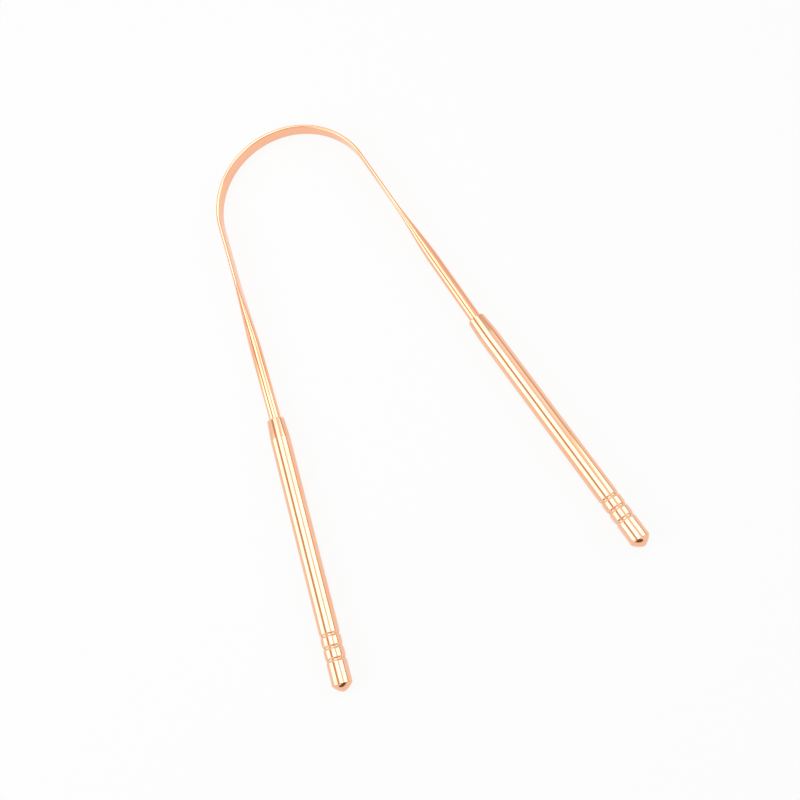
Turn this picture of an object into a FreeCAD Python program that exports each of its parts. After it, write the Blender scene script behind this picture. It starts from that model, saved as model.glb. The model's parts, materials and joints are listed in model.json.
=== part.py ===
import FreeCAD, Part
import math
import os
import Sketcher

# Driving dimensions in millimetres and degrees
DIMENSIONS = {
    # bow: the pressed band, the legs and the wire ends
    "arch_radius": 21.0,
    "band_thickness": 0.9,
    "band_width": 4.1,
    "leg_angle": 7.5,
    "flat_run": 15.2,
    "taper_length": 21.5,
    "round_run": 17.8,
    "wire_diameter": 2.95,
    "bend_radius": 30.0,
    "handle_flare": 1.4,
    "insert_depth": 18.0,
    # handle tube
    "handle_diameter": 5.0,
    "handle_bore": 3.5,
    "tube_length": 66.6,
    "swage_length": 5.4,
    "lip_diameter": 4.4,
    "lip_round": 0.3,
    "grip_clearance": 0.02,
    "bore_cone": 1.0,
    # rolled grooves
    "groove_count": 3,
    "groove_pitch": 2.93,
    "groove_end_gap": 5.7,
    "groove_width": 1.3,
    "groove_depth": 0.25,
    # tip plug
    "tip_height": 1.8,
    "apex_round": 0.9,
    "apex_angle": 20.0,
    "shank_length": 14.0,
    "shank_clearance": 0.01,
}

# Values that follow from the dimensions, with positions measured from the centre of the arch
DERIVED = {
    "wire_radius": "wire_diameter / 2",
    "handle_radius": "handle_diameter / 2",
    "bore_radius": "handle_bore / 2",
    "grip_radius": "wire_radius + grip_clearance",
    "lip_radius": "lip_diameter / 2",
    "shank_radius": "bore_radius - shank_clearance",
    "shank_start": "tube_length - shank_length",
    "bore_start": "swage_length + bore_cone",
    "taper_end": "flat_run + taper_length",
    "straight_run": "taper_end + round_run",
    "handle_angle": "leg_angle + handle_flare",
    "bend_x": "arch_radius * cos(leg_angle) + straight_run * sin(leg_angle)",
    "bend_y": "arch_radius * sin(leg_angle) - straight_run * cos(leg_angle)",
    "mouth_x": "bend_x + bend_radius * (cos(leg_angle) - cos(handle_angle))",
    "mouth_y": "bend_y + bend_radius * (sin(leg_angle) - sin(handle_angle))",
    "tip_end": "tube_length + tip_height",
    "high_y": "arch_radius + band_thickness / 2",
    "low_y": "mouth_y - (tip_end - apex_round) * cos(handle_angle) - apex_round",
    "centre_y": "-(high_y + low_y) / 2",
    "groove_middle": "tube_length - groove_end_gap - groove_pitch * (groove_count - 1)",
    "groove_floor": "handle_radius - groove_depth / 2",
    "groove_round": "groove_width / (4 * sin(2 * atan(2 * groove_depth / groove_width)))",
    "dome_radius": "apex_round * sin(apex_angle)",
    "dome_start": "tip_end - apex_round * (1 - cos(apex_angle))",
    "cone_rise": "dome_start - tube_length",
    "cone_drop": "handle_radius - dome_radius",
    "cone_lean": "atan(cone_drop / cone_rise)",
    "cone_round": "sqrt(cone_rise ^ 2 + cone_drop ^ 2) / (2 * cos(apex_angle * 1 deg + cone_lean))",
}

# Steps of the pressed taper between the flat band and the round wire, and where the taper's
# corner lines end on the round wire, in degrees off the wide side
TAPER_STEPS = 7
CORNER_END = 3.5

# How far the groove cutter stands above the surface of the tube
CUTTER_LIFT = 0.3

UP = FreeCAD.Vector(0, 0, 1)

doc = FreeCAD.newDocument("tongue_scraper")


def fill_sheet():
    sheet = doc.addObject("Spreadsheet::Sheet", "sizes")
    rows = [(name, str(value)) for name, value in DIMENSIONS.items()]
    rows += [(name, "=" + formula) for name, formula in DERIVED.items()]
    for row, (name, text) in enumerate(rows, start=1):
        sheet.set("A%d" % row, name)
        sheet.set("B%d" % row, text)
        sheet.setAlias("B%d" % row, name)
        doc.recompute()
    return sheet


sizes = fill_sheet()


# Bodies and sketches
def origin_feature(body, role):
    return next(item for item in body.Origin.OriginFeatures if item.Role == role)


def new_body(label):
    body = doc.addObject("PartDesign::Body", label)
    body.Label = label
    return body


def new_sketch(body, name, plane):
    sketch = body.newObject("Sketcher::SketchObject", name)
    sketch.AttachmentSupport = [(origin_feature(body, plane), "")]
    sketch.MapMode = "FlatFace"
    return sketch


def number(formula):
    return float(sizes.evalExpression(formula))


def bind(sketch, constraint, formula):
    # give a sketch constraint its value from the sheet
    index = sketch.addConstraint(constraint)
    name = "value_%d" % index
    sketch.renameConstraint(index, name)
    sketch.setExpression("Constraints." + name, formula)


def pin_point(sketch, edge, end, across, along):
    # hold a point at its distances from the sketch's axes
    for formula, axis, kind in ((across, -2, "DistanceX"), (along, -1, "DistanceY")):
        if formula == "0":
            sketch.addConstraint(Sketcher.Constraint("PointOnObject", edge, end, axis))
        else:
            bind(sketch, Sketcher.Constraint(kind, -1, 1, edge, end, number(formula)), formula)


def arc_between(start, end, radius, turn):
    # turn 1 bends to the left on the way from start to end, turn -1 to the right
    chord = end - start
    left = FreeCAD.Vector(-chord.y, chord.x, 0).normalize()
    reach = math.sqrt(radius ** 2 - (chord.Length / 2) ** 2)
    centre = (start + end) * 0.5 + left * (reach * turn)
    first, last = (start, end) if turn > 0 else (end, start)
    angles = [math.atan2(point.y - centre.y, point.x - centre.x) for point in (first, last)]
    return Part.ArcOfCircle(Part.Circle(centre, UP, radius), angles[0], angles[1])


def draw_outline(sketch, corners, rounds):
    # corners are pairs of formulas, and rounds gives radius and turn of the edges that are arcs
    points = [FreeCAD.Vector(number(across), number(along), 0) for across, along in corners]
    ends = []
    for edge, start in enumerate(points):
        end = points[(edge + 1) % len(points)]
        if edge in rounds:
            radius, turn = rounds[edge]
            sketch.addGeometry(arc_between(start, end, number(radius), turn))
            ends.append((1, 2) if turn > 0 else (2, 1))
        else:
            sketch.addGeometry(Part.LineSegment(start, end))
            ends.append((1, 2))
    for edge in range(len(points)):
        following = (edge + 1) % len(points)
        sketch.addConstraint(
            Sketcher.Constraint("Coincident", edge, ends[edge][1], following, ends[following][0]))
    for edge, (across, along) in enumerate(corners):
        pin_point(sketch, edge, ends[edge][0], across, along)
    for edge, (radius, turn) in rounds.items():
        bind(sketch, Sketcher.Constraint("Radius", edge, number(radius)), radius)


def draw_strip(sketch, across, thickness, width):
    # a strip on edge with fully rounded edges
    middle = number(across)
    half_thick = number(thickness) / 2
    rise_formula = "(%s - (%s)) / 2" % (width, thickness)
    rise = number(rise_formula)
    right, left = middle + half_thick, middle - half_thick
    top = FreeCAD.Vector(middle, rise, 0)
    bottom = FreeCAD.Vector(middle, -rise, 0)
    sketch.addGeometry(Part.LineSegment(FreeCAD.Vector(right, -rise, 0), FreeCAD.Vector(right, rise, 0)))
    sketch.addGeometry(Part.ArcOfCircle(Part.Circle(top, UP, half_thick), 0, math.pi))
    sketch.addGeometry(Part.LineSegment(FreeCAD.Vector(left, rise, 0), FreeCAD.Vector(left, -rise, 0)))
    sketch.addGeometry(Part.ArcOfCircle(Part.Circle(bottom, UP, half_thick), math.pi, 2 * math.pi))
    for edge in range(4):
        sketch.addConstraint(Sketcher.Constraint("Tangent", edge, 2, (edge + 1) % 4, 1))
    sketch.addConstraint(Sketcher.Constraint("Vertical", 0))
    sketch.addConstraint(Sketcher.Constraint("Vertical", 2))
    pin_point(sketch, 1, 3, across, rise_formula)
    bind(sketch, Sketcher.Constraint("DistanceY", 3, 3, -1, 1, rise), rise_formula)
    bind(sketch, Sketcher.Constraint("Radius", 1, half_thick), "(%s) / 2" % thickness)


def draw_cornered_circle(sketch, radius, corner):
    # a circle in four arcs, with a corner at an angle to each side of the wide axis
    across = "%s * cos(%s)" % (radius, corner)
    along = "%s * sin(%s)" % (radius, corner)
    corners = [(across, "-" + along), (across, along), ("-" + across, along), ("-" + across, "-" + along)]
    draw_outline(sketch, corners, {edge: (radius, 1) for edge in range(4)})


def draw_circle(sketch, radius):
    sketch.addGeometry(Part.Circle(FreeCAD.Vector(0, 0, 0), UP, number(radius)))
    sketch.addConstraint(Sketcher.Constraint("Coincident", 0, 3, -1, 1))
    bind(sketch, Sketcher.Constraint("Radius", 0, number(radius)), radius)


def revolve(body, name, sketch, kind):
    # a full turn about the body's own Y axis
    feature = body.newObject(kind, name)
    feature.Profile = sketch
    feature.ReferenceAxis = (origin_feature(body, "Y_Axis"), [""])
    feature.Angle = 360
    doc.recompute()
    return feature


def pad(body, name, sketch, length):
    feature = body.newObject("PartDesign::Pad", name)
    feature.Profile = sketch
    feature.setExpression("Length", length)
    doc.recompute()
    return feature


# Scraper bow: one wire, drawn about the centre of the arch
def cross_section(body, name, across, down, angle):
    # a sketch square to the wire, turned outward about the upright axis
    sketch = new_sketch(body, name, "XZ_Plane")
    turned = FreeCAD.Rotation(FreeCAD.Vector(0, 1, 0), number(angle))
    sketch.AttachmentOffset = FreeCAD.Placement(FreeCAD.Vector(0, 0, 0), turned)
    sketch.setExpression("AttachmentOffset.Rotation.Angle", angle)
    sketch.setExpression("AttachmentOffset.Base.x", across)
    sketch.setExpression("AttachmentOffset.Base.z", down)
    return sketch


def leg_section(body, name, run):
    # a sketch square to the leg, at a run along it from the end of the arch
    across = "sizes.arch_radius * cos(sizes.leg_angle) + (%s) * sin(sizes.leg_angle)" % run
    down = "(%s) * cos(sizes.leg_angle) - sizes.arch_radius * sin(sizes.leg_angle)" % run
    return cross_section(body, name, across, down, "sizes.leg_angle")


def build_arch(body):
    sketch = new_sketch(body, "arch_section", "YZ_Plane")
    draw_strip(sketch, "sizes.arch_radius", "sizes.band_thickness", "sizes.band_width")
    arch = body.newObject("PartDesign::Revolution", "arch")
    arch.Profile = sketch
    arch.ReferenceAxis = (origin_feature(body, "Z_Axis"), [""])
    arch.Midplane = True
    arch.setExpression("Angle", "2 * (90 - sizes.leg_angle)")
    doc.recompute()


def build_flat(body):
    sketch = leg_section(body, "flat_section", "0")
    draw_strip(sketch, "0", "sizes.band_thickness", "sizes.band_width")
    return pad(body, "flat_leg", sketch, "sizes.flat_run")


def build_taper(body):
    sketches = []
    for step in range(TAPER_STEPS + 1):
        share = step / TAPER_STEPS
        blend = share * share * (3 - 2 * share)
        run = "sizes.flat_run + sizes.taper_length * %.6f" % share
        sketch = leg_section(body, "taper_section_%d" % step, run)
        if step == TAPER_STEPS:
            draw_cornered_circle(sketch, "sizes.wire_radius", CORNER_END)
        else:
            growth = "sizes.%s + (sizes.wire_diameter - sizes.%s) * %.6f"
            thickness = growth % ("band_thickness", "band_thickness", blend)
            width = growth % ("band_width", "band_width", blend)
            draw_strip(sketch, "0", thickness, width)
        sketches.append(sketch)
    doc.recompute()
    taper = body.newObject("PartDesign::AdditiveLoft", "taper")
    taper.Profile = sketches[0]
    taper.Sections = sketches[1:]
    doc.recompute()
    return taper


def build_round(body):
    sketch = leg_section(body, "round_section", "sizes.taper_end")
    draw_circle(sketch, "sizes.wire_radius")
    return pad(body, "round_leg", sketch, "sizes.round_run")


def build_bend(body):
    sketch = leg_section(body, "bend_section", "sizes.straight_run")
    draw_circle(sketch, "sizes.wire_radius")
    reach = number("sizes.bend_radius")
    axis_ends = FreeCAD.Vector(reach, -1, 0), FreeCAD.Vector(reach, 1, 0)
    axis = sketch.addGeometry(Part.LineSegment(*axis_ends), True)
    sketch.addConstraint(Sketcher.Constraint("Vertical", axis))
    bind(sketch, Sketcher.Constraint("DistanceX", -1, 1, axis, 1, reach), "sizes.bend_radius")
    doc.recompute()
    bend = body.newObject("PartDesign::Revolution", "bend")
    bend.Profile = sketch
    bend.ReferenceAxis = (sketch, ["Axis0"])
    bend.setExpression("Angle", "sizes.handle_flare")
    doc.recompute()
    return bend


def build_insert(body):
    sketch = cross_section(body, "insert_section", "sizes.mouth_x", "-sizes.mouth_y", "sizes.handle_angle")
    draw_circle(sketch, "sizes.wire_radius")
    return pad(body, "insert", sketch, "sizes.insert_depth")


def build_bow():
    body = new_body("scraper_bow")
    build_arch(body)
    legs = [build(body) for build in (build_flat, build_taper, build_round, build_bend, build_insert)]
    mirrored = body.newObject("PartDesign::Mirrored", "other_leg")
    mirrored.Originals = legs
    mirrored.MirrorPlane = (origin_feature(body, "YZ_Plane"), [""])
    body.Tip = mirrored
    body.setExpression("Placement.Base.y", "sizes.centre_y")
    body.setExpression("Placement.Base.z", "sizes.handle_radius")
    doc.recompute()
    return body


# Handle and plug: turned about their own Y axis, from the mouth to the tip
def place_on_arm(body, side):
    # side 1 is the right arm and side -1 the left
    body.Placement = FreeCAD.Placement(
        FreeCAD.Vector(0, 0, 0), FreeCAD.Rotation(FreeCAD.Vector(0, 0, -side), 90))
    body.setExpression("Placement.Rotation.Angle", "180 - sizes.handle_angle")
    body.setExpression("Placement.Base.x", "%d * sizes.mouth_x" % side)
    body.setExpression("Placement.Base.y", "sizes.centre_y + sizes.mouth_y")
    body.setExpression("Placement.Base.z", "sizes.handle_radius")
    doc.recompute()


def build_handle(label, side):
    body = new_body(label)
    sketch = new_sketch(body, label + "_outline", "XY_Plane")
    corners = [
        ("sizes.grip_radius", "0"),
        ("sizes.lip_radius - sizes.lip_round", "0"),
        ("sizes.lip_radius", "sizes.lip_round"),
        ("sizes.handle_radius", "sizes.swage_length"),
        ("sizes.handle_radius", "sizes.tube_length"),
        ("sizes.bore_radius", "sizes.tube_length"),
        ("sizes.bore_radius", "sizes.bore_start"),
        ("sizes.grip_radius", "sizes.swage_length"),
    ]
    draw_outline(sketch, corners, {1: ("sizes.lip_round", 1)})
    revolve(body, label + "_tube", sketch, "PartDesign::Revolution")
    build_grooves(body, label)
    place_on_arm(body, side)
    return body


def build_grooves(body, label):
    # shallow rolled grooves with rounded floors and shoulders
    sketch = new_sketch(body, label + "_groove_outline", "XY_Plane")
    top = "sizes.handle_radius + %s" % CUTTER_LIFT
    near = "sizes.groove_middle - sizes.groove_width / %d"
    far = "sizes.groove_middle + sizes.groove_width / %d"
    corners = [
        (top, near % 2),
        (top, far % 2),
        ("sizes.handle_radius", far % 2),
        ("sizes.groove_floor", far % 4),
        ("sizes.groove_floor", near % 4),
        ("sizes.handle_radius", near % 2),
    ]
    rounds = {2: ("sizes.groove_round", 1), 3: ("sizes.groove_round", -1), 4: ("sizes.groove_round", 1)}
    draw_outline(sketch, corners, rounds)
    groove = revolve(body, label + "_groove", sketch, "PartDesign::Groove")
    rows = body.newObject("PartDesign::LinearPattern", label + "_grooves")
    rows.Originals = [groove]
    rows.Direction = (origin_feature(body, "Y_Axis"), [""])
    rows.setExpression("Length", "sizes.groove_pitch * (sizes.groove_count - 1)")
    rows.setExpression("Occurrences", "sizes.groove_count")
    body.Tip = rows
    doc.recompute()


def build_plug(label, side):
    body = new_body(label)
    sketch = new_sketch(body, label + "_outline", "XY_Plane")
    corners = [
        ("0", "sizes.shank_start"),
        ("sizes.shank_radius", "sizes.shank_start"),
        ("sizes.shank_radius", "sizes.tube_length"),
        ("sizes.handle_radius", "sizes.tube_length"),
        ("sizes.dome_radius", "sizes.dome_start"),
        ("0", "sizes.tip_end"),
    ]
    draw_outline(sketch, corners, {3: ("sizes.cone_round", 1), 4: ("sizes.apex_round", 1)})
    revolve(body, label + "_turned", sketch, "PartDesign::Revolution")
    place_on_arm(body, side)
    return body


def check_and_write(bodies):
    for item in doc.Objects:
        if "Invalid" in item.State or "Error" in item.State:
            raise RuntimeError("%s did not build: %s" % (item.Label, item.State))
    os.makedirs("parts", exist_ok=True)
    for body in bodies:
        if body.Shape.isNull() or not body.Shape.isValid() or len(body.Shape.Solids) != 1:
            raise RuntimeError("%s is not one valid solid" % body.Label)
        body.Shape.exportStep("parts/%s.step" % body.Label)


scraper_parts = [
    build_bow(),
    build_handle("left_handle", -1),
    build_handle("right_handle", 1),
    build_plug("left_tip_plug", -1),
    build_plug("right_tip_plug", 1),
]
check_and_write(scraper_parts)
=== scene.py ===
import bpy
import json
import math
from mathutils import Matrix, Vector


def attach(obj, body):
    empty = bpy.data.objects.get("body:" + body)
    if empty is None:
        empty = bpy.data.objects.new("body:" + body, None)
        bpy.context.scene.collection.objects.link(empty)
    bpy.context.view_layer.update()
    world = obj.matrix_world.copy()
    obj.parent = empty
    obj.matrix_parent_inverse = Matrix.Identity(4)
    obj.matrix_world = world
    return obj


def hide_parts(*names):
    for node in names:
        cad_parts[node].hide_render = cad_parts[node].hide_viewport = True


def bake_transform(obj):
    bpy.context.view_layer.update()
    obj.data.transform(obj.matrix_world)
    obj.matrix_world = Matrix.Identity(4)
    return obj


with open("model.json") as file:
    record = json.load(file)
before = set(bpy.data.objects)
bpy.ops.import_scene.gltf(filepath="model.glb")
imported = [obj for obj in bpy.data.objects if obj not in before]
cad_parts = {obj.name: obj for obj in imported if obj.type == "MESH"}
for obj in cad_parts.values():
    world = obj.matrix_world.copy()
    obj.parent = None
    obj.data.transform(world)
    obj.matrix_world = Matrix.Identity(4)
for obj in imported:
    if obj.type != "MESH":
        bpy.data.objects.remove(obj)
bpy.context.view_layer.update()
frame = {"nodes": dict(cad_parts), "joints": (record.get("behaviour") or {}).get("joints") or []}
print("frame loaded with", ", ".join(sorted(frame["nodes"])))

mm = 0.001
fullTurn, quarterTurn = 2 * math.pi, math.pi / 2
weldGap = 0.001 * mm
creaseAngle = math.radians(28)  # edges steeper than this stay sharp
grainGirth = {"wire": 9.0, "tube": 15.7}  # millimetres round each kind of piece
archCentre = Vector(frame["joints"][0]["pos_m"])  # both arms flex about the arch's own axis
scene = bpy.context.scene


# node helpers
def feed(tree, socket, value):
    if isinstance(value, bpy.types.NodeSocket):
        tree.links.new(value, socket)
    else:
        socket.default_value = value


def addNode(tree, kind, inputs=None, **settings):
    node = tree.nodes.new(kind)
    for name, value in settings.items():
        setattr(node, name, value)
    for socket, value in (inputs or {}).items():
        feed(tree, node.inputs[socket], value)
    return node


def mathFor(tree):
    # calc("ADD", a, b) adds one Math node and hands back its output
    def calc(operation, *values):
        node = addNode(tree, "ShaderNodeMath", operation=operation)
        for socket, value in zip(node.inputs, values):
            feed(tree, socket, value)
        return node.outputs[0]
    return calc


def vectorFor(tree):
    def aim(operation, first, second):
        node = addNode(tree, "ShaderNodeVectorMath", operation=operation)
        feed(tree, node.inputs[0], first)
        feed(tree, node.inputs["Scale" if operation == "SCALE" else 1], second)
        return node.outputs[0]
    return aim


def combine(tree, x, y, z):
    return addNode(tree, "ShaderNodeCombineXYZ", {"X": x, "Y": y, "Z": z}).outputs[0]


def separate(tree, vector):
    return addNode(tree, "ShaderNodeSeparateXYZ", {"Vector": vector}).outputs


def remap(tree, value, source, result, **settings):
    return addNode(tree, "ShaderNodeMapRange", {
        "Value": value, "From Min": source[0], "From Max": source[1],
        "To Min": result[0], "To Max": result[1]}, **settings).outputs[0]


def clearTree(owner):
    # the node tree of a new material or world, emptied
    owner.use_nodes = True
    owner.node_tree.nodes.clear()
    return owner.node_tree


def openTree(name, inputs):
    tree = bpy.data.node_groups.new(name, "GeometryNodeTree")
    tree.interface.new_socket("Geometry", in_out="INPUT", socket_type="NodeSocketGeometry")
    for label, kind in inputs.items():
        tree.interface.new_socket(label, in_out="INPUT", socket_type="NodeSocket" + kind)
    tree.interface.new_socket("Geometry", in_out="OUTPUT", socket_type="NodeSocketGeometry")
    return tree, tree.nodes.new("NodeGroupInput").outputs


def unitGrid(tree, across, along):
    # a sheet of points with u and v from 0 to 1
    sheet = addNode(tree, "GeometryNodeMeshGrid", {
        "Size X": 1.0, "Size Y": 1.0, "Vertices X": across, "Vertices Y": along})
    place = separate(tree, addNode(tree, "GeometryNodeInputPosition").outputs[0])
    calc = mathFor(tree)
    u, v = (calc("ADD", place[axis], 0.5) for axis in ("X", "Y"))
    return sheet.outputs["Mesh"], u, v


def closeTree(tree, sheet, grain, recess, position, finish):
    # keep the grain map and the recess mark, put the points in place, weld the seam and hand over
    mapped = addNode(tree, "GeometryNodeStoreNamedAttribute", {
        "Geometry": sheet, "Name": "grainMap", "Value": grain},
        data_type="FLOAT2", domain="CORNER")
    marked = addNode(tree, "GeometryNodeStoreNamedAttribute", {
        "Geometry": mapped.outputs[0], "Name": "recess", "Value": recess},
        data_type="FLOAT", domain="POINT")
    placed = addNode(tree, "GeometryNodeSetPosition", {
        "Geometry": marked.outputs[0], "Position": position})
    welded = addNode(tree, "GeometryNodeMergeByDistance", {
        "Geometry": placed.outputs[0], "Distance": weldGap})
    # the sheet rolls up with its faces inwards
    flipped = addNode(tree, "GeometryNodeFlipFaces", {"Mesh": welded.outputs[0]})
    smooth = addNode(tree, "GeometryNodeSetShadeSmooth", {"Geometry": flipped.outputs[0]})
    real = addNode(tree, "GeometryNodeRealizeInstances", {"Geometry": smooth.outputs[0]})
    painted = addNode(tree, "GeometryNodeSetMaterial", {
        "Geometry": real.outputs[0], "Material": finish})
    addNode(tree, "NodeGroupOutput", {0: painted.outputs[0]})


def growPiece(name, base, tree, values):
    # run a tree once and keep what it makes as a plain mesh
    grower = bpy.data.objects.new(name + "_grower", base)
    scene.collection.objects.link(grower)
    modifier = grower.modifiers.new("grow", "NODES")
    modifier.node_group = tree
    for item in tree.interface.items_tree:
        if item.in_out == "INPUT" and item.name in values:
            modifier[item.identifier] = values[item.name]
    grown = grower.evaluated_get(bpy.context.evaluated_depsgraph_get())
    mesh = bpy.data.meshes.new_from_object(grown)
    bpy.data.objects.remove(grower)
    mesh.name = name
    mesh.materials.pop(index=0)  # the plain sheet's own empty slot
    mesh.set_sharp_from_angle(angle=creaseAngle)
    piece = bpy.data.objects.new(name, mesh)
    scene.collection.objects.link(piece)
    print("grew", name, "with", len(mesh.polygons), "faces")
    return piece


# polished copper, with a darker brown that the grooves, the seams and the die rings mix towards; the
# swaging die's rings end a few millimetres into the tube
copperLooks = {
    # the band's colours sit deeper than the tube's: painted shade for the dim floor beside the band
    # that its walls reflect
    "bandCopper": {
        "warm": (0.95, 0.48, 0.287), "pale": (0.97, 0.53, 0.337), "darkBrown": (0.35, 0.14, 0.07),
        "gloss": (0.05, 0.11), "lineDepth": 0.05, "ringsEnd": 0.0},
    "tubeCopper": {
        "warm": (0.94, 0.52, 0.33), "pale": (0.95, 0.57, 0.38), "darkBrown": (0.36, 0.15, 0.08),
        "gloss": (0.05, 0.11), "lineDepth": 0.03, "ringsEnd": 5.2},
    "plugCopper": {
        "warm": (0.92, 0.50, 0.31), "pale": (0.95, 0.55, 0.36), "darkBrown": (0.30, 0.12, 0.06),
        "gloss": (0.06, 0.13), "lineDepth": 0.04, "ringsEnd": 0.0},
}
copperTexture = {
    "driftScale": 95.0, "patchScale": 1400.0, "smudgeScale": 220.0,
    "noiseSpan": (0.3, 0.7), "wearSpan": (0.35, 0.65), "brownSpan": (0.35, 0.75),
    "lineStretch": (9.0, 0.06, 1.0), "lineHeight": 0.02 * mm,
    "brownRoughness": 0.25, "ringPitch": 0.5, "ringShade": 0.16,
}


def copperFinish(name, texture):
    look = copperLooks[name]
    material = bpy.data.materials.new(name)
    tree = clearTree(material)
    calc = mathFor(tree)
    places = addNode(tree, "ShaderNodeTexCoord").outputs["Object"]
    grain = addNode(tree, "ShaderNodeUVMap", uv_map="grainMap").outputs[0]
    recess = addNode(tree, "ShaderNodeAttribute", attribute_name="recess").outputs["Fac"]

    def noise(where, scale, detail):
        return addNode(tree, "ShaderNodeTexNoise", {
            "Vector": where, "Scale": scale, "Detail": detail}).outputs["Fac"]

    # slow drift of the copper's own tint, then a darker brown wherever the recess mark is high: in
    # the grooves and at the seams
    drift = noise(places, texture["driftScale"], 3.0)
    tint = addNode(tree, "ShaderNodeValToRGB", {"Fac": drift})
    stops = zip(tint.color_ramp.elements, texture["noiseSpan"], ("warm", "pale"))
    for stop, position, shadeName in stops:
        stop.position = position
        stop.color = (*look[shadeName], 1)
    patches = noise(places, texture["patchScale"], 2.0)
    brown = calc("MULTIPLY", recess, remap(
        tree, patches, texture["noiseSpan"], texture["brownSpan"]))

    # faint rings that the swaging die leaves on the mouth of the tube
    along = separate(tree, grain)["Y"]
    wave = calc("SINE", calc("MULTIPLY", along, fullTurn / texture["ringPitch"]))
    atMouth = calc("LESS_THAN", along, look["ringsEnd"])
    rings = calc("MULTIPLY", calc("MULTIPLY_ADD", wave, 0.5, 0.5), atMouth)
    brown = calc("MULTIPLY_ADD", rings, texture["ringShade"], brown)
    # sockets 0, 6 and 7 are the factor and the two colours
    # the recess mark and the die rings turn the copper towards its darker brown colour
    shade = addNode(tree, "ShaderNodeMix", {
        0: brown, 6: tint.outputs["Color"], 7: (*look["darkBrown"], 1)}, data_type="RGBA")

    # drawing lines run along the wire and the tube
    stretched = addNode(tree, "ShaderNodeMapping", {
        "Vector": grain, "Scale": texture["lineStretch"]})
    lines = noise(stretched.outputs[0], 1.0, 5.0)
    smudge = noise(places, texture["smudgeScale"], 4.0)
    wear = calc("ADD", calc("MULTIPLY", lines, 0.5), calc("MULTIPLY", smudge, 0.5))
    gloss = remap(tree, wear, texture["wearSpan"], look["gloss"])
    roughness = calc("ADD", gloss, calc("MULTIPLY", brown, texture["brownRoughness"]))
    bump = addNode(tree, "ShaderNodeBump", {
        "Strength": look["lineDepth"], "Distance": texture["lineHeight"], "Height": lines})

    copper = addNode(tree, "ShaderNodeBsdfPrincipled", {
        "Base Color": shade.outputs[2], "Metallic": 1.0,
        "Roughness": roughness, "Normal": bump.outputs[0]})
    addNode(tree, "ShaderNodeOutputMaterial", {"Surface": copper.outputs[0]})
    return material


finishes = {name: copperFinish(name, copperTexture) for name in copperLooks}
print("finishes mixed:", ", ".join(finishes))


# scraper bow: a wire pressed flat over the arch, round again where it enters the handles
bowSizes = {
    "Arch Radius": 21.0 * mm,
    "Arch Sweep": math.radians(82.5),
    "Flat Run": 15.2 * mm,
    "Taper Length": 21.5 * mm,
    "Round Run": 17.8 * mm,
    "Bend Radius": 30.0 * mm,
    "Handle Flare": math.radians(1.4),
    "Insert Depth": 18.0 * mm,
    "Band Thickness": 0.9 * mm,
    "Band Width": 4.1 * mm,
    "Wire Diameter": 2.95 * mm,
    "Rings": 360,
    "Side Points": 5,
    "Edge Points": 9,
}


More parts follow.
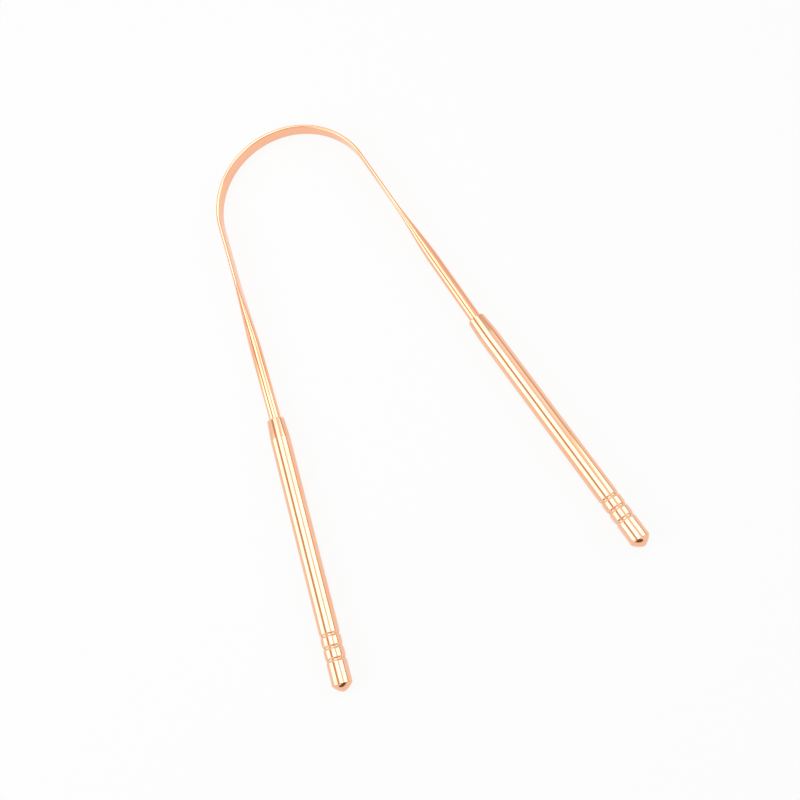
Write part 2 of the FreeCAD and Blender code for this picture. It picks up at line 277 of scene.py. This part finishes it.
def bowTree():
    kinds = {label: "Int" if isinstance(value, int) else "Float"
             for label, value in bowSizes.items()}
    tree, given = openTree("pressedWire", {
        **kinds, "Arch Centre": "Vector", "Hand": "Float", "Finish": "Material"})
    calc, aim = mathFor(tree), vectorFor(tree)
    archRadius, sweep, flare = given["Arch Radius"], given["Arch Sweep"], given["Handle Flare"]
    bendRadius = given["Bend Radius"]

    def within(value, top):
        return calc("MINIMUM", calc("MAXIMUM", value, 0.0), top)

    # stations along the wire, from the top of the arch
    archEnd = calc("MULTIPLY", archRadius, sweep)
    flatEnd = calc("ADD", archEnd, given["Flat Run"])
    taperEnd = calc("ADD", flatEnd, given["Taper Length"])
    bendStart = calc("ADD", taperEnd, given["Round Run"])
    mouth = calc("ADD", bendStart, calc("MULTIPLY", bendRadius, flare))
    wireEnd = calc("ADD", mouth, given["Insert Depth"])

    # the first and the last ring close the ends
    quarter = calc("ADD", given["Side Points"], given["Edge Points"])
    around = calc("ADD", calc("MULTIPLY", quarter, 4.0), 1.0)
    sheet, u, v = unitGrid(tree, around, given["Rings"])
    ring = calc("MULTIPLY", v, calc("SUBTRACT", given["Rings"], 1.0))
    share = calc("DIVIDE", calc("SUBTRACT", ring, 1.0), calc("SUBTRACT", given["Rings"], 3.0))
    station = calc("MULTIPLY", wireEnd, within(share, 1.0))
    lastRing = calc("SUBTRACT", given["Rings"], 1.5)
    notCap = calc("MULTIPLY", calc("GREATER_THAN", ring, 0.5), calc("LESS_THAN", ring, lastRing))

    # centre line: arch, straight leg, slight bend, straight end, each as a step in its own direction
    def step(distance, heading):
        back = calc("MULTIPLY", distance, -1.0)
        return combine(tree, calc("MULTIPLY", back, calc("COSINE", heading)),
                       calc("MULTIPLY", back, calc("SINE", heading)), 0.0)

    def chord(radius, turn):
        halfSine = calc("SINE", calc("MULTIPLY", turn, 0.5))
        return calc("MULTIPLY", calc("MULTIPLY", radius, 2.0), halfSine)

    archTurn = within(calc("DIVIDE", station, archRadius), sweep)
    legRun = within(calc("SUBTRACT", station, archEnd), calc("SUBTRACT", bendStart, archEnd))
    pastBend = calc("SUBTRACT", station, bendStart)
    bendTurn = within(calc("DIVIDE", pastBend, bendRadius), flare)
    endRun = calc("MAXIMUM", calc("SUBTRACT", station, mouth), 0.0)
    heading = calc("SUBTRACT", archTurn, bendTurn)
    midArch = calc("MULTIPLY", archTurn, 0.5)
    midBend = calc("SUBTRACT", sweep, calc("MULTIPLY", bendTurn, 0.5))
    line = combine(tree, 0.0, archRadius, 0.0)
    for part in (
            step(chord(archRadius, archTurn), midArch),
            step(legRun, sweep),
            step(chord(bendRadius, bendTurn), midBend),
            step(endRun, calc("SUBTRACT", sweep, flare))):
        line = aim("ADD", line, part)

    # section: flat sides with full round edges, swelling to the round wire
    def swell(flat, full):
        return remap(tree, station, (flatEnd, taperEnd), (flat, full),
                     interpolation_type="SMOOTHSTEP")

    wireRadius = calc("MULTIPLY", given["Wire Diameter"], 0.5)
    edgeRadius = swell(calc("MULTIPLY", given["Band Thickness"], 0.5), wireRadius)
    halfWidth = swell(calc("MULTIPLY", given["Band Width"], 0.5), wireRadius)
    sideRise = calc("SUBTRACT", halfWidth, edgeRadius)
    sideShare = calc("DIVIDE", given["Side Points"], quarter)
    edgeShare = calc("SUBTRACT", 1.0, sideShare)
    corner = calc("MULTIPLY", calc("MULTIPLY", sideShare, quarterTurn), swell(0.0, 1.0))
    turn = calc("MULTIPLY", u, fullTurn)
    fold = calc("PINGPONG", calc("MULTIPLY", u, 4.0), 1.0)
    onSide = within(calc("DIVIDE", fold, sideShare), 1.0)
    onEdge = within(calc("DIVIDE", calc("SUBTRACT", fold, sideShare), edgeShare), 1.0)
    angle = calc("ADD", calc("MULTIPLY", corner, onSide),
                 calc("MULTIPLY", calc("SUBTRACT", quarterTurn, corner), onEdge))
    lift = calc("MULTIPLY", sideRise, calc("SINE", calc("MULTIPLY", onSide, quarterTurn)))
    outward = calc("MULTIPLY", calc("MULTIPLY", edgeRadius, calc("COSINE", angle)),
                   calc("SIGN", calc("COSINE", turn)))
    upward = calc("MULTIPLY", calc("ADD", calc("MULTIPLY", edgeRadius, calc("SINE", angle)), lift),
                  calc("SIGN", calc("SINE", turn)))

    side = combine(tree, calc("MULTIPLY", calc("SINE", heading), -1.0), calc("COSINE", heading), 0.0)
    point = aim("ADD", line, aim("SCALE", side, calc("MULTIPLY", outward, notCap)))
    point = aim("ADD", point, combine(tree, 0.0, 0.0, calc("MULTIPLY", upward, notCap)))
    # the other half is the same piece turned over
    point = aim("MULTIPLY", point, combine(tree, given["Hand"], 1.0, given["Hand"]))
    point = aim("ADD", point, given["Arch Centre"])
    grain = combine(tree, calc("MULTIPLY", u, grainGirth["wire"]),
                    calc("MULTIPLY", station, 1 / mm), 0.0)  # in millimetres
    closeTree(tree, sheet, grain, 0.0, point, given["Finish"])
    return tree


def levelTop(mesh):
    # the halves meet at the top of the arch, so their normals there lie in the plane between them
    capSlope, seamReach = 0.9, 0.0005 * mm
    normals = [corner.vector.copy() for corner in mesh.corner_normals]
    for face in mesh.polygons:
        if abs(face.normal.x) > capSlope:
            continue
        for loop in face.loop_indices:
            if abs(mesh.vertices[mesh.loops[loop].vertex_index].co.x) < seamReach:
                normals[loop].x = 0
                normals[loop].normalize()
    mesh.normals_split_custom_set(normals)


pressedWire = bowTree()
archRadius, sweep, flatRun = (bowSizes[label] for label in ("Arch Radius", "Arch Sweep", "Flat Run"))
for hand, arm in ((1, "left"), (-1, "right")):
    half = growPiece(arm + "_bow_half", bpy.data.meshes.new("blank"), pressedWire, {
        **bowSizes, "Arch Centre": archCentre, "Hand": float(hand), "Finish": finishes["bandCopper"]})
    levelTop(half.data)
    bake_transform(half)  # the half's mesh goes into world place; on the scraper the thin band is the part that flexes
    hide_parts("scraper_bow")


# handles and plugs: turned from an outline of radius, station and recess mark, in millimetres
def arcPoints(centre, radius, first, last, count):
    # angles in degrees, 0 straight out from the axis and 90 towards the tip
    turns = [math.radians(first + (last - first) * i / count) for i in range(count + 1)]
    return [(centre[0] + radius * math.cos(t), centre[1] + radius * math.sin(t), 0.0)
            for t in turns]


def outlineMesh(name, points):
    mesh = bpy.data.meshes.new(name)
    mesh.from_pydata([(radius * mm, station * mm, mark) for radius, station, mark in points], [], [])
    return mesh


turnedInputs = {
    "Around": "Int", "Groove Count": "Int", "Groove Pitch": "Float", "First Groove": "Float",
    "Groove Width": "Float", "Groove Depth": "Float", "Wall Radius": "Float",
    "Mouth": "Vector", "Along": "Vector", "Finish": "Material",
}
grooveBrown = 0.35  # how much of the recess mark a groove's floor takes
wallShare = 0.999  # points past this share of the wall's radius are on the outer wall


def turnedTree():
    tree, given = openTree("turnedOnAxis", turnedInputs)
    calc, aim = mathFor(tree), vectorFor(tree)
    outline = given["Geometry"]
    count = addNode(tree, "GeometryNodeAttributeDomainSize", {
        "Geometry": outline}).outputs["Point Count"]
    sheet, u, v = unitGrid(tree, calc("ADD", given["Around"], 1.0), count)
    row = calc("ROUND", calc("MULTIPLY", v, calc("SUBTRACT", count, 1.0)))
    sampled = addNode(tree, "GeometryNodeSampleIndex", {
        "Geometry": outline, "Value": addNode(tree, "GeometryNodeInputPosition").outputs[0],
        "Index": row}, data_type="FLOAT_VECTOR", domain="POINT")
    radius, station, mark = separate(tree, sampled.outputs[0])

    # rolled grooves: a soft dip that repeats along the outer wall
    pitch, first = given["Groove Pitch"], given["First Groove"]
    halfPitch = calc("MULTIPLY", pitch, 0.5)
    fromGroove = calc("WRAP", calc("SUBTRACT", station, first), halfPitch,
                      calc("MULTIPLY", halfPitch, -1.0))
    rowStart = calc("SUBTRACT", first, halfPitch)
    rowEnd = calc("ADD", rowStart, calc("MULTIPLY", pitch, given["Groove Count"]))
    inRow = calc("MULTIPLY", calc("GREATER_THAN", station, rowStart),
                 calc("LESS_THAN", station, rowEnd))
    outside = calc("GREATER_THAN", radius, calc("MULTIPLY", given["Wall Radius"], wallShare))
    share = calc("DIVIDE", fromGroove, given["Groove Width"])
    inDip = calc("LESS_THAN", calc("ABSOLUTE", share), 0.5)
    bell = calc("ADD", calc("COSINE", calc("MULTIPLY", share, fullTurn)), 1.0)
    dip = calc("MULTIPLY", calc("MULTIPLY", calc("MULTIPLY", bell, 0.5), inDip),
               calc("MULTIPLY", inRow, outside))
    depth = calc("SUBTRACT", radius, calc("MULTIPLY", dip, given["Groove Depth"]))

    turn = calc("MULTIPLY", u, fullTurn)
    up = combine(tree, 0.0, 0.0, 1.0)
    across = aim("CROSS_PRODUCT", given["Along"], up)
    point = aim("ADD", given["Mouth"], aim("SCALE", given["Along"], station))
    point = aim("ADD", point, aim("SCALE", across, calc("MULTIPLY", depth, calc("COSINE", turn))))
    point = aim("ADD", point, aim("SCALE", up, calc("MULTIPLY", depth, calc("SINE", turn))))
    grain = combine(tree, calc("MULTIPLY", u, grainGirth["tube"]),
                    calc("MULTIPLY", station, 1 / mm), 0.0)  # in millimetres
    recess = calc("ADD", mark, calc("MULTIPLY", calc("POWER", dip, 2.0), grooveBrown))
    closeTree(tree, sheet, grain, recess, point, given["Finish"])
    return tree


handleSizes = {
    "gripRadius": 1.495, "lipRadius": 2.2, "lipRound": 0.3, "lipSteps": 8, "swageLength": 5.4,
    "tubeRadius": 2.5, "tubeLength": 66.6, "boreRadius": 1.75, "boreStart": 6.4,
    "rimRound": 0.04, "rimSteps": 5, "grooveCount": 3, "groovePitch": 2.93, "firstGroove": 55.04,
    "grooveWidth": 1.3, "grooveDepth": 0.25, "around": 128,
    "shoulderDip": 0.008, "shoulderStart": 0.12, "shoulderEnd": 0.04, "shoulderRest": 0.6,
    "plainStep": 2.0, "grooveMargin": 1.0, "grooveStep": 0.05,
}


def handleOutline(s):
    wall, length, swage = s["tubeRadius"], s["tubeLength"], s["swageLength"]
    lipCentre = (s["lipRadius"] - s["lipRound"], s["lipRound"])
    rimCentre = (wall - s["rimRound"], length - s["rimRound"])
    points = [(s["gripRadius"], 0.0, 1.0)]
    points += arcPoints(lipCentre, s["lipRound"], -90, 0, s["lipSteps"])
    # a soft shoulder where the swaged cone meets the plain wall
    points += [(wall - s["shoulderDip"], swage - s["shoulderStart"], 0.0),
               (wall, swage + s["shoulderEnd"], 0.0), (wall, swage + s["shoulderRest"], 0.0)]
    plain = swage + s["plainStep"]
    while plain < s["firstGroove"] - s["plainStep"]:
        points.append((wall, plain, 0.0))
        plain += s["plainStep"]
    fine = s["firstGroove"] - s["grooveMargin"]
    lastGroove = s["firstGroove"] + s["groovePitch"] * (s["grooveCount"] - 1)
    while fine < lastGroove + s["grooveMargin"]:
        points.append((wall, fine, 0.0))
        fine += s["grooveStep"]
    points.append((wall, length - s["plainStep"], 0.0))
    points += arcPoints(rimCentre, s["rimRound"], 0, 90, s["rimSteps"])
    # back along the bore to the mouth
    points += [(s["boreRadius"], length, 1.0), (s["boreRadius"], s["boreStart"], 1.0)]
    points += [(s["gripRadius"], swage, 1.0), (s["gripRadius"], 0.0, 1.0)]
    return points


plugSizes = {
    "shankStart": 52.6, "shankRadius": 1.74, "shankBevel": 0.3, "seat": 66.6, "rimRound": 0.03,
    "rimRadius": 2.5, "sideRound": 4.409, "sideSteps": 20, "apexRound": 0.9, "apexAngle": 20.0,
    "apexSteps": 10, "tip": 68.4, "around": 128,
}


def plugOutline(s):
    shank, bevel, start, seat = s["shankRadius"], s["shankBevel"], s["shankStart"], s["seat"]
    meet = 90 - s["apexAngle"]  # where the side's arc hands over to the apex
    apexCentre = (0.0, s["tip"] - s["apexRound"])
    lean = math.radians(meet)
    back = s["sideRound"] - s["apexRound"]
    sideCentre = (-back * math.cos(lean), apexCentre[1] - back * math.sin(lean))
    rimTurn = math.degrees(math.asin((seat + s["rimRound"] - sideCentre[1]) / s["sideRound"]))
    sideArc = arcPoints(sideCentre, s["sideRound"], rimTurn, meet, s["sideSteps"])
    apexArc = arcPoints(apexCentre, s["apexRound"], meet, 90, s["apexSteps"])
    points = [(0.0, start, 1.0), (shank - bevel, start, 1.0), (shank, start + bevel, 1.0),
              (shank, seat, 1.0), (s["rimRadius"] - 2 * s["rimRound"], seat, 1.0)]
    return points + sideArc + apexArc[1:]


tubeGrooves = {
    "Groove Count": handleSizes["grooveCount"], "Groove Pitch": handleSizes["groovePitch"] * mm,
    "First Groove": handleSizes["firstGroove"] * mm, "Groove Width": handleSizes["grooveWidth"] * mm,
    "Groove Depth": handleSizes["grooveDepth"] * mm, "Wall Radius": handleSizes["tubeRadius"] * mm,
}
noGrooves = {
    "Groove Count": 0, "Groove Pitch": 1.0, "First Groove": 0.0,
    "Groove Width": 1.0, "Groove Depth": 0.0, "Wall Radius": 1.0,
}
turnedOnAxis = turnedTree()
bendRadius = bowSizes["Bend Radius"]
legLean = math.radians(90) - sweep
handleLean = legLean + bowSizes["Handle Flare"]
legRun = flatRun + bowSizes["Taper Length"] + bowSizes["Round Run"]
mouthReach = (archRadius * math.cos(legLean) + legRun * math.sin(legLean)
              + bendRadius * (math.cos(legLean) - math.cos(handleLean)))
mouthDrop = (archRadius * math.sin(legLean) - legRun * math.cos(legLean)
             + bendRadius * (math.sin(legLean) - math.sin(handleLean)))
for hand, arm in ((-1, "left"), (1, "right")):
    seat = {"Mouth": archCentre + Vector((hand * mouthReach, mouthDrop, 0)),
            "Along": Vector((hand * math.sin(handleLean), -math.cos(handleLean), 0))}
    tube = growPiece(
        arm + "_tube", outlineMesh("tubeOutline", handleOutline(handleSizes)), turnedOnAxis,
        {**seat, **tubeGrooves, "Around": handleSizes["around"], "Finish": finishes["tubeCopper"]})
    plug = growPiece(
        arm + "_plug", outlineMesh("plugOutline", plugOutline(plugSizes)), turnedOnAxis,
        {**seat, **noGrooves, "Around": plugSizes["around"], "Finish": finishes["plugCopper"]})
    for piece, node, slot in ((tube, arm + "_handle", "copper_tube"),
                              (plug, arm + "_tip_plug", "copper_plug")):
        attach(piece, arm + "_arm")
        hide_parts(node)


# studio: pale floor, soft boxes, and darker cards that give the polished metal its lines
studio = {
    "floorColour": (0.92, 0.92, 0.92), "floorSize": 6.0, "floorLift": 0.88, "mirrorLift": 0.8,
    "ambient": 0.45,
    "boxes": {
        "topBox": {"at": (0.019, -0.013, 0.352), "aim": (0.019, -0.013, 0.0),
                   "size": (0.198, 0.359), "level": 1.65},
        "backBox": {"at": (0.02, 0.222, 0.352), "aim": (0.02, 0.222, 0.0),
                    "size": (0.26, 0.07), "level": 2.8},
        "leftBox": {"at": (-0.371, 0.041, 0.240), "aim": (0.0, 0.041, 0.0),
                    "size": (0.293, 0.363), "level": 1.65},
        "rightBox": {"at": (1.6, 0.012, 1.12), "aim": (0.0, 0.012, 1.12),
                     "size": (1.44, 1.08), "level": 1.65},
        "rightFade": {"at": (1.6, 0.722, 1.26), "aim": (0.0, 0.722, 1.26),
                      "size": (1.16, 0.33), "level": 0.25},
    },
    "cards": {
        "leftCard": {"at": (-0.252, 0.08, 0.399), "aim": (0.0, 0.08, 0.0),
                     "size": (0.254, 0.7), "colour": (0.68, 0.51, 0.38)},
        "rightCard": {"at": (0.5, 0.05, 0.052), "aim": (0.0, 0.05, 0.052),
                      "size": (0.132, 0.9), "colour": (0.68, 0.52, 0.40)},
        "sideCard": {"at": (0.5, 0.225, 0.157), "aim": (0.0, 0.225, 0.157),
                     "size": (0.078, 0.19), "colour": (0.76, 0.62, 0.52)},
        "tipCard": {"at": (-0.05, -0.43, 0.068), "aim": (-0.05, 0.0, 0.068),
                    "size": (0.50, 0.115), "colour": (0.18, 0.11, 0.075)},
        "upperTipCard": {"at": (-0.005, -0.43, 0.16), "aim": (-0.005, 0.0, 0.16),
                         "size": (0.25, 0.07), "colour": (0.18, 0.11, 0.075)},
        "grooveCard": {"at": (-0.01, -0.43, 0.255), "aim": (-0.01, 0.0, 0.255),
                       "size": (0.30, 0.09), "colour": (0.62, 0.36, 0.24)},
        "farCard": {"at": (0.92, 0.92, 0.70), "aim": (0.0, 0.0, 0.70),
                    "size": (1.2, 0.46), "colour": (0.80, 0.66, 0.57)},
    },
}


def facing(at, aim):
    # local Z points away from the aim, and local Y lies along the arms, or upright on a front sheet
    back = (Vector(at) - Vector(aim)).normalized()
    length = Vector((0, 0, 1)) if abs(back.y) > 0.75 else Vector((0, 1, 0))
    side = length.cross(back).normalized()
    turned = Matrix((side, back.cross(side), back)).transposed()
    return Matrix.Translation(at) @ turned.to_4x4()


def whiteTo(tree, straight, mirrored):
    # how white the background is to rays that look at it, straight or in the metal
    path = addNode(tree, "ShaderNodeLightPath").outputs
    calc = mathFor(tree)
    seen = calc("MULTIPLY", path["Is Camera Ray"], straight)
    reflected = calc("MAXIMUM", path["Is Glossy Ray"], path["Is Transmission Ray"])
    return calc("MAXIMUM", seen, calc("MULTIPLY", reflected, mirrored))


def glow(tree, colour):
    return addNode(tree, "ShaderNodeEmission", {
        "Color": (*colour, 1), "Strength": 1.0}).outputs[0]


def sheetObject(name, width, length, shader):
    # a flat sheet with its own material, made by the given function
    mesh = bpy.data.meshes.new(name)
    w, l = width / 2, length / 2
    mesh.from_pydata([(-w, -l, 0), (w, -l, 0), (w, l, 0), (-w, l, 0)], [], [(0, 1, 2, 3)])
    material = bpy.data.materials.new(name)
    tree = clearTree(material)
    addNode(tree, "ShaderNodeOutputMaterial", {"Surface": shader(tree)})
    mesh.materials.append(material)
    sheet = bpy.data.objects.new(name, mesh)
    scene.collection.objects.link(sheet)
    return sheet


def paleFloor(tree):
    matt = addNode(tree, "ShaderNodeBsdfDiffuse", {"Color": (*studio["floorColour"], 1)})
    lift = whiteTo(tree, studio["floorLift"], studio["mirrorLift"])
    return addNode(tree, "ShaderNodeMixShader", {
        0: lift, 1: matt.outputs[0], 2: glow(tree, (1, 1, 1))}).outputs[0]


def layFloor():
    floor = sheetObject("floor", studio["floorSize"], studio["floorSize"], paleFloor)


def hangLights():
    for name, box in studio["boxes"].items():
        lamp = bpy.data.lights.new(name, "AREA")
        lamp.shape = "RECTANGLE"
        lamp.size, lamp.size_y = box["size"]
        lamp.energy = box["level"] * math.pi * lamp.size * lamp.size_y
        holder = bpy.data.objects.new(name, lamp)
        holder.matrix_world = facing(box["at"], box["aim"])
        holder.visible_camera = False
        scene.collection.objects.link(holder)
    for name, card in studio["cards"].items():
        holder = sheetObject(name, *card["size"], lambda tree: glow(tree, card["colour"]))
        holder.matrix_world = facing(card["at"], card["aim"])
        holder.visible_camera = False
        holder.visible_diffuse = False
        holder.visible_shadow = False


def paintWorld():
    world = bpy.data.worlds.new("whiteRoom")
    scene.world = world
    tree = clearTree(world)
    level = remap(tree, whiteTo(tree, 1.0, 1.0), (0.0, 1.0), (studio["ambient"], 1.0))
    room = addNode(tree, "ShaderNodeBackground", {"Color": (1, 1, 1, 1), "Strength": level})
    addNode(tree, "ShaderNodeOutputWorld", {"Surface": room.outputs[0]})


# camera, fitted to the photograph's outline; degrees and millimetres
cameraFit = {
    "lens": 49.696, "height": 71.79, "turn": 11.77, "roll": -37.83,
    "distance": 272.05, "target": (2.36, -12.92, 2.5), "clipStart": 10.0,
}


def standCamera(c):
    height, turn, roll = (math.radians(c[key]) for key in ("height", "turn", "roll"))
    flat = math.cos(height)
    back = Vector((math.sin(turn) * flat, -math.cos(turn) * flat, math.sin(height)))
    level = Vector((0, 0, 1)).cross(back).normalized()
    upright = back.cross(level)
    right = math.cos(roll) * level + math.sin(roll) * upright
    top = -math.sin(roll) * level + math.cos(roll) * upright
    lens = bpy.data.cameras.new("photoCamera")
    lens.lens = c["lens"]
    lens.clip_start = c["clipStart"] * mm
    camera = bpy.data.objects.new("photoCamera", lens)
    place = (Vector(c["target"]) + c["distance"] * back) * mm
    turned = Matrix((right, top, back)).transposed()
    camera.matrix_world = Matrix.Translation(place) @ turned.to_4x4()
    scene.collection.objects.link(camera)
    scene.camera = camera


layFloor()
hangLights()
paintWorld()
standCamera(cameraFit)
scene.view_settings.view_transform = "Standard"
print("studio set")
